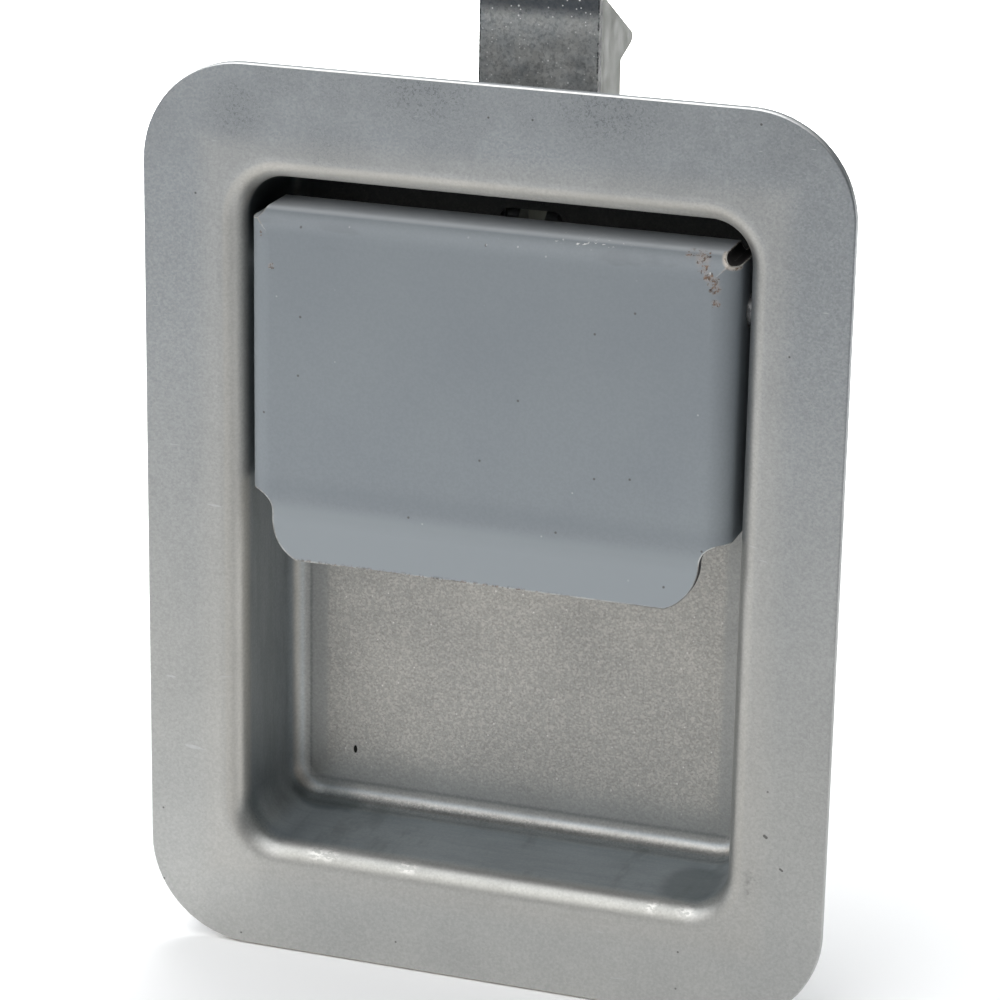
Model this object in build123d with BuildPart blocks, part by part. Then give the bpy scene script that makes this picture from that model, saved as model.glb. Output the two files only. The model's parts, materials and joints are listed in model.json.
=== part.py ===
"""Flush paddle latch with a vertical slam bolt.

Frame: X across the latch, +Y into the door, +Z up. The origin is the middle of the flange's back face,
which is also the middle of the four mounting studs. Lengths are millimetres, angles are degrees.
"""

import os
from math import acos, asin, atan2, cos, degrees, hypot, radians, sin, sqrt, tan

from build123d import *

# ---- Driving dimensions ---------------------------------------------------------------------------

# Tray: a drawn pan inside a flat flange
tray_sheet = 1.5
flange_width = 111.1
flange_height = 144.4
flange_corner = 16.3
flange_edge_radius = 0.3
flange_side_width = 15.65  # flange's edge to the pan's mouth, left and right
flange_end_width = 17.6  # the same, above and below
pan_rise = 0.2  # the pan's middle lies this far above the flange's
pan_depth = 22.2  # flange's front to the floor's back
pan_corner = 6.5
pan_draft = 2.0
mouth_roll = 3.75
floor_fillet = 3.1

# Paddle: one formed sheet with side flanges, a top flange and a kicked-out lip
paddle_sheet = 1.5
paddle_proud = 0.5  # paddle's face in front of the flange's
paddle_side_gap = 1.5
paddle_top_gap = 4.75
paddle_face_height = 47.8  # paddle's top to the start of the lip's bend
paddle_bend = 3.75
side_flange_depth = 14.5
side_flange_corner = 6.0
top_flange_depth = 10.5
lip_length = 5.7  # below its bend
lip_angle = 16.0
lip_bend = 5.25
lip_corner = 7.0
lip_inset = 4.15  # lip's side edges inside the paddle's
lip_relief = 3.1
notch_radius = 2.0
notch_inset = 0.3  # notch's centre inside the paddle's side
notch_rise = 0.3  # and above its top

# Hinge pin across the pan, with a formed head and a push-on nut
pin_radius = 2.38
pin_drop = 14.8  # pin's axis below the pan's top wall
pin_set_back = 9.0  # pin's axis behind the paddle's face
pin_end = 2.2
pin_chamfer = 0.5
pin_head_radius = 4.2
pin_head_height = 1.8
pin_play = 0.08
pin_fit = 0.03
wall_gap = 0.2
push_nut_radius = 5.2
push_nut_sheet = 0.5
push_nut_rise = 1.1
push_nut_slits = 4
push_nut_slit = 0.8

# Spacer sleeves and torsion springs on the pin
sleeve_wall = 0.6
sleeve_play = 0.1
end_play = 0.3
coil_wire = 1.2
coil_radius = 4.1
coil_gap = 0.3  # leg ends to the paddle and to the pan's floor
coil_turns = 4
coil_spacing = 1.45
coil_side_gap = 7.7  # last turn to the paddle's side flange
coil_leg = 6.3  # leg ends above the pin's axis

# Trigger: a channel welded to the paddle's back, with its nose through the pan's floor
paddle_swing = 44.0
trigger_sheet = 1.9
trigger_width = 8.0
trigger_foot = 20.0
trigger_foot_rise = 5.0  # foot's top above the pin's axis
boss_radius = 4.8
arm_radius = 2.1
nose_radius = 2.6
trigger_side_gap = 1.0
trigger_stop_gap = 0.3
trigger_slot_corner = 1.5

# Bolt: a steel strip with a nylon block riveted behind it
bolt_width = 19.05
bolt_rise = 10.5  # strip's top above the flange's edge
strip_sheet = 1.6
strip_corner = 1.2
window_side_gap = 0.7
window_corner = 1.0
drive_gap = 0.2
slam_gap = 0.4
block_depth = 10.6
block_setback = 0.4  # block's crest below the strip's top
nose_reach = 7.9
nose_slope = 17.5
slam_slope = 28.1
nose_tip_radius = 1.2
block_edge = 0.3
pocket_depth = 5.0
pocket_gap = 0.5
rivet_gap = 3.6
bolt_rivet_radius = 1.5
bolt_rivet_head = 2.4
rivet_fit = 0.03

# Return springs, in bores in the block and round rods on the spring seat
spring_radius = 2.8
spring_wire = 0.8
spring_turns = 11
spring_offset = 5.0
spring_end_gap = 0.1
bore_radius = 3.5
bore_depth = 12.0
bore_roof = 7.2  # bore's end below the window
spring_block = 16.0  # seat to the block at full travel
guide_radius = 1.9
guide_length = 24.0
guide_tail = 1.0
guide_tail_radius = 2.6

# Housing: a hat section round the bolt, riveted to the pan's floor
housing_sheet = 1.5
housing_bend = 1.0
slide_gap = 0.3
housing_back_gap = 0.4
foot_width = 10.0
foot_corner = 3.0
foot_margin = 1.2
nose_gap = 1.5
housing_rivet_radius = 1.6
housing_rivet_head = 3.1
housing_rivet_dome = 1.2
housing_rivet_margin = 6.0
seat_sheet = 1.5
seat_tab = 0.8
seat_tab_width = 5.0
seat_gap = 0.15
sight_slot_width = 7.0
sight_slot_length = 20.0

# Mounting studs and gasket on the flange's back
stud_radius = 2.41
stud_length = 15.9
stud_end_margin = 15.0  # flange's top and bottom edges to the studs
stud_point = 0.8
gasket_thickness = 1.6
gasket_inset = 2.2
gasket_pan_gap = 0.4
gasket_hole_gap = 1.4

touch = 0.01  # how near two faces count as one place

# ---- Places worked out from them ------------------------------------------------------------------

flange_front = -tray_sheet
pan_width = flange_width - 2 * flange_side_width
pan_height = flange_height - 2 * flange_end_width
floor_back = pan_depth - tray_sheet
floor_front = floor_back - tray_sheet
pan_top = pan_rise + pan_height / 2
pan_bottom = pan_rise - pan_height / 2
roll_back_radius = mouth_roll - tray_sheet


def wall_draw_in(y):
    """How far the pan's walls have come in at depth y, because of the draft."""
    return (y - flange_front) * tan(radians(pan_draft))


def dome_middle(radius, rise):
    """Height and radius of the point halfway up the arc of a round-topped dome."""
    sphere = (radius**2 + rise**2) / (2 * rise)
    half_angle = asin(radius / sphere) / 2
    return rise - sphere * (1 - cos(half_angle)), sphere * sin(half_angle)


floor_flat_top = pan_top - wall_draw_in(floor_front) - floor_fillet

paddle_face = flange_front - paddle_proud
paddle_back = paddle_face + paddle_sheet
paddle_half = pan_width / 2 - paddle_side_gap
paddle_top = pan_top - paddle_top_gap
lip_top = paddle_top - paddle_face_height
lip_half = paddle_half - lip_inset

pin_y = paddle_face + pin_set_back
pin_z = pan_top - pin_drop
wall_outside = pan_width / 2 + tray_sheet - wall_draw_in(pin_y - pin_head_radius)

# The trigger's nose swings evenly above and below the pin, in the plane of the strip.
half_swing = paddle_swing / 2
strip_front = floor_back + slide_gap
strip_back = strip_front + strip_sheet
strip_middle = strip_front + strip_sheet / 2
trigger_arm = (strip_middle - pin_y) / cos(radians(half_swing))
nose_rise = trigger_arm * sin(radians(half_swing))
bolt_travel = 2 * nose_rise
nose_y = strip_middle
nose_z = pin_z + nose_rise

window_bottom = nose_z - nose_radius - drive_gap
window_top = nose_z + nose_radius + bolt_travel + slam_gap
window_half = trigger_width / 2 + window_side_gap
strip_top = flange_height / 2 + bolt_rise
block_top = strip_top - block_setback
block_back = strip_back + block_depth
tip_y = block_back + nose_reach
tip_z = block_top - (tip_y - strip_back) * tan(radians(slam_slope))
nose_root = tip_z - nose_reach * tan(radians(nose_slope))
bore_top = window_bottom - bore_roof
bolt_bottom = bore_top - bore_depth
spring_y = block_back - block_depth / 2
seat_top = bolt_bottom - bolt_travel - spring_block

housing_inside = bolt_width / 2 + slide_gap
housing_middle_x = housing_inside + housing_sheet / 2
housing_middle_y = block_back + housing_back_gap + housing_sheet / 2
housing_back = block_back + housing_back_gap + housing_sheet
foot_middle_y = floor_back + housing_sheet / 2
foot_outside = housing_inside + foot_width + housing_sheet
foot_top = floor_flat_top - foot_margin
housing_top = nose_root - bolt_travel - nose_gap
housing_bottom = seat_top - seat_sheet - guide_tail
rivet_x = (housing_inside + housing_sheet + housing_bend + foot_outside) / 2
rivet_rows = (housing_bottom + housing_rivet_margin, foot_top - housing_rivet_margin)

# The studs stand in the middle of the gasket's side bands.
gasket_inside = pan_width / 2 + mouth_roll + gasket_pan_gap
gasket_outside = flange_width / 2 - gasket_inset
stud_spacing_x = gasket_inside + gasket_outside
stud_spacing_z = flange_height - 2 * stud_end_margin

# Sketch plane that faces the rear: its normal is +Y and its local y is +Z.
rear_facing = Plane(origin=(0, 0, 0), x_dir=(-1, 0, 0), z_dir=(0, 1, 0))

# ---- Tray -----------------------------------------------------------------------------------------

with BuildPart() as tray:
    with BuildSketch(Plane.XZ):
        RectangleRounded(flange_width, flange_height, flange_corner)
    extrude(amount=tray_sheet)
    rim = tray.edges().group_by(Axis.Y)[0]
    fillet(rim, radius=flange_edge_radius)
    # The outside of the pan, then the roll where it meets the flange's back
    with BuildSketch(rear_facing):
        with Locations((0, pan_rise)):
            outside = 2 * (tray_sheet - wall_draw_in(0))
            RectangleRounded(pan_width + outside, pan_height + outside, pan_corner + tray_sheet)
    extrude(amount=floor_back, taper=pan_draft)
    fillet(tray.edges().group_by(Axis.Y)[-1], radius=floor_fillet + tray_sheet)
    root = tray.edges().filter_by_position(Axis.Y, -touch, touch)
    root = root.filter_by(lambda e: abs(e.center().X) < pan_width / 2 + tray_sheet)
    root = root.filter_by(lambda e: abs(e.center().Z - pan_rise) < pan_height / 2 + tray_sheet)
    fillet(root, radius=roll_back_radius)
    # The inside of the pan
    with BuildSketch(rear_facing.offset(flange_front)):
        with Locations((0, pan_rise)):
            RectangleRounded(pan_width, pan_height, pan_corner)
    extrude(amount=pan_depth - tray_sheet, taper=pan_draft, mode=Mode.SUBTRACT)
    floor_edges = tray.faces().filter_by(Plane.XZ).sort_by(Axis.Y)[-2].edges()
    fillet(floor_edges, radius=floor_fillet)
    mouth = tray.faces().filter_by(Plane.XZ).sort_by(Axis.Y)[0].inner_wires()[0].edges()
    fillet(mouth, radius=mouth_roll)
    # Holes for the hinge pin, in both side walls
    with BuildSketch(Plane.YZ):
        with Locations((pin_y, pin_z)):
            Circle(pin_radius + pin_fit)
    extrude(amount=flange_width / 2, both=True, mode=Mode.SUBTRACT)
    # Slot for the trigger, and the holes of the housing's rivets
    slot_reach = (floor_back - pin_y) * tan(radians(half_swing)) + nose_radius / cos(radians(half_swing))
    slot_reach += trigger_stop_gap
    with BuildSketch(rear_facing):
        with Locations((0, pin_z)):
            RectangleRounded(trigger_width + 2 * trigger_side_gap, 2 * slot_reach, trigger_slot_corner)
        with Locations(*[(side * rivet_x, row) for side in (-1, 1) for row in rivet_rows]):
            Circle(housing_rivet_radius + rivet_fit)
    extrude(amount=pan_depth, mode=Mode.SUBTRACT)
tray.part.label = "tray"

# ---- Paddle ---------------------------------------------------------------------------------------

with BuildPart() as paddle:
    # Face, side flanges and top flange: a shell that is open behind and below
    with BuildSketch(rear_facing.offset(paddle_face)):
        with Locations((0, paddle_top)):
            Rectangle(2 * paddle_half, paddle_face_height, align=(Align.CENTER, Align.MAX))
    extrude(amount=side_flange_depth)
    bends = paddle.edges().group_by(Axis.Y)[0]
    lower_edge = bends.sort_by(Axis.Z)[0]
    fillet(bends - [lower_edge], radius=paddle_bend)
    open_faces = [paddle.faces().sort_by(Axis.Y)[-1], paddle.faces().sort_by(Axis.Z)[0]]
    offset(amount=-paddle_sheet, openings=open_faces)
    # The top flange is shorter than the side flanges
    with BuildSketch(rear_facing.offset(paddle_face + top_flange_depth)):
        with Locations((0, paddle_top + paddle_sheet)):
            trim_height = 2 * paddle_sheet + paddle_bend
            Rectangle(2 * (paddle_half - paddle_sheet), trim_height, align=(Align.CENTER, Align.MAX))
    extrude(amount=side_flange_depth, mode=Mode.SUBTRACT)
    # Finger lip, bent towards the user
    lip_plane_y = paddle_face + paddle_sheet / 2
    with BuildSketch(Plane.YZ):
        with BuildLine():
            bend = JernArc((lip_plane_y, lip_top), (0, -1), lip_bend + paddle_sheet / 2, -lip_angle)
            lip_edge = bend @ 1 + bend % 1 * lip_length
            Line(bend @ 1, lip_edge)
        trace(line_width=paddle_sheet)
    extrude(amount=paddle_half - paddle_bend, both=True)
    # Round reliefs where the lip leaves the face, and the lip's rounded lower corners
    lip_lowest = lip_edge.Y - paddle_sheet / 2 * sin(radians(lip_angle))
    with BuildSketch(rear_facing.offset(paddle_face - lip_length)):
        with Locations((0, lip_top)):
            Rectangle(3 * paddle_half, 2 * lip_length, align=(Align.CENTER, Align.MAX))
        with Locations((0, lip_lowest)):
            outline_height = 2 * (lip_top - lip_lowest) + 2 * lip_corner
            RectangleRounded(
                2 * lip_half,
                outline_height,
                lip_corner,
                align=(Align.CENTER, Align.MIN),
                mode=Mode.SUBTRACT,
            )
        for side in (-1, 1):
            with Locations((side * (lip_half + lip_relief), lip_top)):
                Circle(lip_relief)
                Rectangle(
                    2 * lip_inset,
                    2 * lip_relief,
                    align=(Align.MIN if side > 0 else Align.MAX, Align.CENTER),
                )
    extrude(amount=2 * lip_length + side_flange_depth, mode=Mode.SUBTRACT)
    # Notches in the top corners
    with BuildSketch(rear_facing.offset(paddle_face)):
        for side in (-1, 1):
            with Locations((side * (paddle_half - notch_inset), paddle_top + notch_rise)):
                Circle(notch_radius)
    extrude(amount=side_flange_depth, mode=Mode.SUBTRACT)
    heel = paddle.edges().filter_by(Axis.X).group_by(Axis.Y)[-1].group_by(Axis.Z)[0]
    fillet(heel, radius=side_flange_corner)
    with BuildSketch(Plane.YZ):
        with Locations((pin_y, pin_z)):
            Circle(pin_radius + pin_play)
    extrude(amount=paddle_half, both=True, mode=Mode.SUBTRACT)
paddle.part.label = "paddle"

# ---- Trigger --------------------------------------------------------------------------------------

with BuildPart() as trigger:
    foot_top_z = pin_z + trigger_foot_rise
    with BuildSketch(Plane.YZ):
        with Locations((paddle_back, foot_top_z)):
            Rectangle(trigger_sheet, trigger_foot, align=(Align.MIN, Align.MAX))
        with Locations((pin_y, pin_z)):
            Circle(boss_radius)
        make_hull()
        with Locations(Location(((pin_y + nose_y) / 2, (pin_z + nose_z) / 2), half_swing)):
            SlotCenterToCenter(trigger_arm, 2 * arm_radius)
        with Locations((nose_y, nose_z)):
            Circle(nose_radius)
    extrude(amount=trigger_width / 2, both=True)
    # The channel is open towards the rear
    with BuildSketch(rear_facing.offset(paddle_back + trigger_sheet)):
        with Locations((0, pin_z)):
            Rectangle(trigger_width - 2 * trigger_sheet, 2 * trigger_foot)
    extrude(amount=2 * trigger_arm, mode=Mode.SUBTRACT)
    corners = trigger.edges().filter_by(Axis.Z).group_by(Axis.Y)[0]
    fillet(corners, radius=trigger_sheet * 0.9)
    with BuildSketch(Plane.YZ):
        with Locations((pin_y, pin_z)):
            Circle(pin_radius + pin_play)
    extrude(amount=trigger_width, both=True, mode=Mode.SUBTRACT)
trigger.part.label = "trigger"

# ---- Hinge pin and push nut -----------------------------------------------------------------------

pin_axis = Axis((0, pin_y, pin_z), (1, 0, 0))
pin_section = Plane(origin=(0, pin_y, pin_z), x_dir=(1, 0, 0), z_dir=(0, -1, 0))
head_seat = wall_outside + wall_gap

with BuildPart() as hinge_pin:
    middle_height, middle_radius = dome_middle(pin_head_radius, pin_head_height)
    with BuildSketch(pin_section):
        with BuildLine():
            Polyline(
                (-head_seat - pin_head_height, 0),
                (head_seat + pin_end, 0),
                (head_seat + pin_end, pin_radius - pin_chamfer),
                (head_seat + pin_end - pin_chamfer, pin_radius),
                (-head_seat, pin_radius),
                (-head_seat, pin_head_radius),
            )
            ThreePointArc(
                (-head_seat, pin_head_radius),
                (-head_seat - middle_height, middle_radius),
                (-head_seat - pin_head_height, 0),
            )
        make_face()
    revolve(axis=pin_axis)
hinge_pin.part.label = "hinge_pin"

with BuildPart() as pin_push_nut:
    nut_bore = pin_radius + pin_fit
    with BuildSketch(pin_section):
        with BuildLine():
            FilletPolyline(
                (head_seat + push_nut_sheet / 2, push_nut_radius),
                (head_seat + push_nut_sheet / 2, push_nut_radius * 0.8),
                (head_seat + push_nut_rise, nut_bore + push_nut_sheet / 4),
                radius=push_nut_sheet,
            )
        trace(line_width=push_nut_sheet)
    revolve(axis=pin_axis)
    with BuildSketch(Plane.YZ.offset(head_seat)):
        with Locations((pin_y, pin_z)):
            Circle(nut_bore)
            with PolarLocations((nut_bore + push_nut_radius) / 4, push_nut_slits):
                Rectangle((nut_bore + push_nut_radius) / 2, push_nut_slit)
    extrude(amount=2 * push_nut_rise, mode=Mode.SUBTRACT)
pin_push_nut.part.label = "pin_push_nut"

# ---- Spacer sleeves and torsion springs -----------------------------------------------------------

sleeve_start = trigger_width / 2 + end_play
sleeve_end = paddle_half - paddle_sheet - end_play
sleeve_bore = pin_radius + sleeve_play

with BuildPart() as spacer_sleeve_right:
    with BuildSketch(Plane.YZ.offset(sleeve_start)):
        with Locations((pin_y, pin_z)):
            Circle(sleeve_bore + sleeve_wall)
            Circle(sleeve_bore, mode=Mode.SUBTRACT)
    extrude(amount=sleeve_end - sleeve_start)
spacer_sleeve_right.part.label = "spacer_sleeve_right"

with BuildPart() as spacer_sleeve_left:
    mirror(spacer_sleeve_right.part, about=Plane.YZ)
spacer_sleeve_left.part.label = "spacer_sleeve_left"

# Both legs are tangent to the coil. The first ends just behind the paddle's back, the last just in
# front of the pan's floor. Angles are measured round the pin from +Y towards +Z.
rise_end_y = paddle_back + coil_gap + coil_wire / 2 - pin_y
rise_span = hypot(rise_end_y, coil_leg)
start_angle = degrees(atan2(coil_leg, rise_end_y)) + degrees(acos(coil_radius / rise_span))
leg_end_y = floor_front - coil_gap - coil_wire / 2 - pin_y
leg_span = hypot(leg_end_y, coil_leg)
leave_angle = degrees(atan2(coil_leg, leg_end_y)) - degrees(acos(coil_radius / leg_span))
coil_sweep = coil_turns + (360 + leave_angle - start_angle) / 360
helix_start = 90  # where a helix about +X begins
coil_place = paddle_half - paddle_sheet - coil_side_gap - coil_sweep * coil_spacing

with BuildPart() as paddle_spring_right:
    with BuildLine(mode=Mode.PRIVATE) as coil_line:
        Helix(
            pitch=coil_spacing,
            height=coil_sweep * coil_spacing,
            radius=coil_radius,
            center=(coil_place, pin_y, pin_z),
            direction=(1, 0, 0),
        )
    coil = coil_line.line.rotate(pin_axis, start_angle - helix_start).edges()[0]
    rise_length = sqrt(rise_span**2 - coil_radius**2)
    leg_length = sqrt(leg_span**2 - coil_radius**2)
    paddle_leg = Edge.make_line(coil @ 0 - coil % 0 * rise_length, coil @ 0)
    floor_leg = Edge.make_line(coil @ 1, coil @ 1 + coil % 1 * leg_length)
    spring_path = Wire([paddle_leg, coil, floor_leg])
    with BuildSketch(Plane(origin=spring_path @ 0, z_dir=spring_path % 0)):
        Circle(coil_wire / 2)
    sweep(path=spring_path, is_frenet=True)
paddle_spring_right.part.label = "paddle_spring_right"

with BuildPart() as paddle_spring_left:
    mirror(paddle_spring_right.part, about=Plane.YZ)
paddle_spring_left.part.label = "paddle_spring_left"

# ---- Bolt: strip, block and rivets ----------------------------------------------------------------

rivet_places = (window_bottom - rivet_gap, window_top + rivet_gap)
head_depth = bolt_rivet_head - bolt_rivet_radius

with BuildPart() as bolt_strip:
    with BuildSketch(rear_facing.offset(strip_front)) as strip_outline:
        with Locations((0, bolt_bottom)):
            Rectangle(bolt_width, strip_top - bolt_bottom, align=(Align.CENTER, Align.MIN))
        chamfer(strip_outline.vertices(), length=strip_corner)
        with Locations((0, (window_bottom + window_top) / 2)):
            RectangleRounded(
                2 * window_half, window_top - window_bottom, window_corner, mode=Mode.SUBTRACT
            )
    extrude(amount=strip_sheet)
    # Countersunk holes, so that the strip's front slides flat on the pan
    for place in rivet_places:
        with Locations(Plane(origin=(0, strip_front, place), z_dir=(0, -1, 0))):
            CounterSinkHole(bolt_rivet_radius + rivet_fit, bolt_rivet_head + rivet_fit, depth=strip_sheet)
bolt_strip.part.label = "bolt_strip"

with BuildPart() as bolt_block:
    with BuildSketch(Plane.YZ) as block_outline:
        with BuildLine():
            Polyline(
                (strip_back, bolt_bottom),
                (block_back, bolt_bottom),
                (block_back, nose_root),
                (tip_y, tip_z),
                (strip_back, block_top),
                close=True,
            )
        make_face()
        fillet(block_outline.vertices().sort_by(Axis.X)[-1], radius=nose_tip_radius)
    extrude(amount=bolt_width / 2, both=True)
    sides = bolt_block.faces().filter_by(Plane.YZ)
    outline_edges = [e for face in sides for e in face.edges() if e.center().Y > strip_back + touch]
    chamfer(outline_edges, length=block_edge)
    # Pocket for the trigger's nose, behind the strip's window
    with BuildSketch(rear_facing.offset(strip_back)):
        with Locations((0, (window_bottom + window_top) / 2)):
            RectangleRounded(
                2 * window_half, window_top - window_bottom + 2 * pocket_gap, window_corner
            )
    extrude(amount=pocket_depth, mode=Mode.SUBTRACT)
    # Bores for the return springs, from below
    with BuildSketch(Plane.XY.offset(bolt_bottom)):
        with Locations((-spring_offset, spring_y), (spring_offset, spring_y)):
            Circle(bore_radius)
    extrude(amount=bore_depth, mode=Mode.SUBTRACT)
    for place in rivet_places:
        with Locations(Plane(origin=(0, block_back, place), z_dir=(0, 1, 0))):
            CounterSinkHole(bolt_rivet_radius + rivet_fit, bolt_rivet_head + rivet_fit, depth=block_depth)
bolt_block.part.label = "bolt_block"

with BuildPart() as bolt_rivets:
    for place in rivet_places:
        with BuildSketch(Plane(origin=(0, 0, place), x_dir=(0, 1, 0), z_dir=(1, 0, 0))):
            with BuildLine():
                Polyline(
                    (strip_front, 0),
                    (strip_front, bolt_rivet_head),
                    (strip_front + head_depth, bolt_rivet_radius),
                    (block_back - head_depth, bolt_rivet_radius),
                    (block_back, bolt_rivet_head),
                    (block_back, 0),
                    close=True,
                )
            make_face()
        revolve(axis=Axis((0, 0, place), (0, 1, 0)))
bolt_rivets.part.label = "bolt_rivets"

# ---- Housing and its rivets -----------------------------------------------------------------------

with BuildPart() as latch_housing:
    with BuildSketch(Plane.XY.offset(housing_bottom)):
        with BuildLine():
            FilletPolyline(
                (foot_outside, foot_middle_y),
                (housing_middle_x, foot_middle_y),
                (housing_middle_x, housing_middle_y),
                (-housing_middle_x, housing_middle_y),
                (-housing_middle_x, foot_middle_y),
                (-foot_outside, foot_middle_y),
                radius=housing_bend + housing_sheet / 2,
            )
        trace(line_width=housing_sheet)
    extrude(amount=housing_top - housing_bottom)
    # The feet end where the pan's floor is still flat
    with BuildSketch(rear_facing.offset(floor_back)):
        for side in (-1, 1):
            with Locations((side * foot_outside, foot_top)):
                trim_width = 2 * (foot_outside - housing_inside - housing_sheet - housing_bend)
                Rectangle(trim_width, housing_top, align=(Align.CENTER, Align.MIN))
    extrude(amount=housing_sheet, mode=Mode.SUBTRACT)
    foot_edges = latch_housing.edges().filter_by(Axis.Y).filter_by(
        lambda e: abs(e.center().X) > foot_outside - touch
    )
    fillet(foot_edges, radius=foot_corner)
    # Sight slot over the springs, slits for the seat's tabs, and rivet holes
    with BuildSketch(rear_facing.offset(housing_middle_y)):
        with Locations(Location((0, (seat_top + bolt_bottom) / 2), 90)):
            SlotOverall(sight_slot_length, sight_slot_width)
    extrude(amount=housing_sheet, both=True, mode=Mode.SUBTRACT)
    with BuildSketch(Plane.YZ):
        with Locations((spring_y, seat_top - seat_sheet / 2)):
            Rectangle(seat_tab_width + 2 * seat_gap, seat_sheet + 2 * seat_gap)
    extrude(amount=foot_outside, both=True, mode=Mode.SUBTRACT)
    with BuildSketch(rear_facing):
        with Locations(*[(side * rivet_x, row) for side in (-1, 1) for row in rivet_rows]):
            Circle(housing_rivet_radius + rivet_fit)
    extrude(amount=housing_middle_y, mode=Mode.SUBTRACT)
latch_housing.part.label = "latch_housing"

with BuildPart() as housing_rivets:
    foot_back = floor_back + housing_sheet
    middle_height, middle_radius = dome_middle(housing_rivet_head, housing_rivet_dome)
    for side in (-1, 1):
        for row in rivet_rows:
            centre = (side * rivet_x, 0, row)
            with BuildSketch(Plane(origin=centre, x_dir=(0, 1, 0), z_dir=(1, 0, 0))):
                with BuildLine():
                    ThreePointArc(
                        (floor_front - housing_rivet_dome, 0),
                        (floor_front - middle_height, middle_radius),
                        (floor_front, housing_rivet_head),
                    )
                    Polyline(
                        (floor_front, housing_rivet_head),
                        (floor_front, housing_rivet_radius),
                        (foot_back, housing_rivet_radius),
                        (foot_back, housing_rivet_head),
                    )
                    ThreePointArc(
                        (foot_back, housing_rivet_head),
                        (foot_back + middle_height, middle_radius),
                        (foot_back + housing_rivet_dome, 0),
                    )
                    Line((foot_back + housing_rivet_dome, 0), (floor_front - housing_rivet_dome, 0))
                make_face()
            revolve(axis=Axis(centre, (0, 1, 0)))
housing_rivets.part.label = "housing_rivets"

# ---- Spring seat, guides and return springs -------------------------------------------------------

with BuildPart() as spring_seat:
    with BuildSketch(Plane.XY.offset(seat_top)):
        with Locations((0, spring_y)):
            seat_depth = block_back - strip_back
            Rectangle(2 * (housing_inside - seat_gap), seat_depth)
            Rectangle(2 * (housing_inside + housing_sheet + seat_tab), seat_tab_width)
        with Locations((-spring_offset, spring_y), (spring_offset, spring_y)):
            Circle(guide_radius + rivet_fit, mode=Mode.SUBTRACT)
    extrude(amount=-seat_sheet)
spring_seat.part.label = "spring_seat"

for side, hand in ((-1, "left"), (1, "right")):
    with BuildPart() as spring_guide:
        with BuildSketch(Plane.XY.offset(seat_top - seat_sheet)):
            with Locations((side * spring_offset, spring_y)):
                Circle(guide_radius)
        extrude(amount=guide_length + seat_sheet)
        chamfer(spring_guide.edges().group_by(Axis.Z)[-1], length=guide_radius / 2)
        with BuildSketch(Plane.XY.offset(seat_top - seat_sheet)):
            with Locations((side * spring_offset, spring_y)):
                Circle(guide_tail_radius)
        extrude(amount=-guide_tail)
        fillet(spring_guide.edges().group_by(Axis.Z)[0], radius=guide_tail * 0.6)
    spring_guide.part.label = "spring_guide_" + hand
    os.makedirs("parts", exist_ok=True)
    export_step(spring_guide.part, "parts/spring_guide_" + hand + ".step")

    coil_foot = seat_top + spring_wire / 2 + spring_end_gap
    coil_height = bore_top - seat_top - spring_wire - 2 * spring_end_gap
    with BuildPart() as return_spring:
        with BuildLine(Plane(origin=(side * spring_offset, spring_y, coil_foot))) as spring_line:
            Helix(
                pitch=coil_height / spring_turns,
                height=coil_height,
                radius=spring_radius,
                lefthand=side < 0,
            )
        with BuildSketch(Plane(origin=spring_line.line @ 0, z_dir=spring_line.line % 0)):
            Circle(spring_wire / 2)
        sweep(path=spring_line.line, is_frenet=True)
    return_spring.part.label = "return_spring_" + hand
    export_step(return_spring.part, "parts/return_spring_" + hand + ".step")

# ---- Studs and gasket -----------------------------------------------------------------------------

with BuildPart() as weld_studs:
    for side_x in (-1, 1):
        for side_z in (-1, 1):
            centre = (side_x * stud_spacing_x / 2, 0, side_z * stud_spacing_z / 2)
            with BuildSketch(Plane(origin=centre, x_dir=(0, 1, 0), z_dir=(1, 0, 0))):
                with BuildLine():
                    Polyline(
                        (0, 0),
                        (0, stud_radius),
                        (stud_length - stud_point, stud_radius),
                        (stud_length, stud_radius - stud_point),
                        (stud_length, 0),
                        close=True,
                    )
                make_face()
            revolve(axis=Axis(centre, (0, 1, 0)))
weld_studs.part.label = "weld_studs"

with BuildPart() as flange_gasket:
    with BuildSketch(rear_facing):
        gasket_height = flange_height - 2 * gasket_inset
        RectangleRounded(2 * gasket_outside, gasket_height, flange_corner - gasket_inset)
        with Locations((0, pan_rise)):
            inner_growth = 2 * gasket_inside - pan_width
            RectangleRounded(
                2 * gasket_inside,
                pan_height + inner_growth,
                pan_corner + inner_growth / 2,
                mode=Mode.SUBTRACT,
            )
        with GridLocations(stud_spacing_x, stud_spacing_z, 2, 2):
            Circle(stud_radius + gasket_hole_gap, mode=Mode.SUBTRACT)
    extrude(amount=gasket_thickness)
flange_gasket.part.label = "flange_gasket"

# ---- Files ----------------------------------------------------------------------------------------

os.makedirs("parts", exist_ok=True)
for piece in (
    tray,
    paddle,
    trigger,
    hinge_pin,
    pin_push_nut,
    spacer_sleeve_left,
    spacer_sleeve_right,
    paddle_spring_left,
    paddle_spring_right,
    bolt_strip,
    bolt_block,
    bolt_rivets,
    latch_housing,
    housing_rivets,
    spring_seat,
    weld_studs,
    flange_gasket,
):
    export_step(piece.part, "parts/" + piece.part.label + ".step")
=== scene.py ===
"""Looks of the paddle latch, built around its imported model.

Frame: X across the latch, +Y into the door, +Z up, metres. The origin is on the flange's back face.
"""

import json
import math

import bpy
from mathutils import Matrix, Vector


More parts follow.
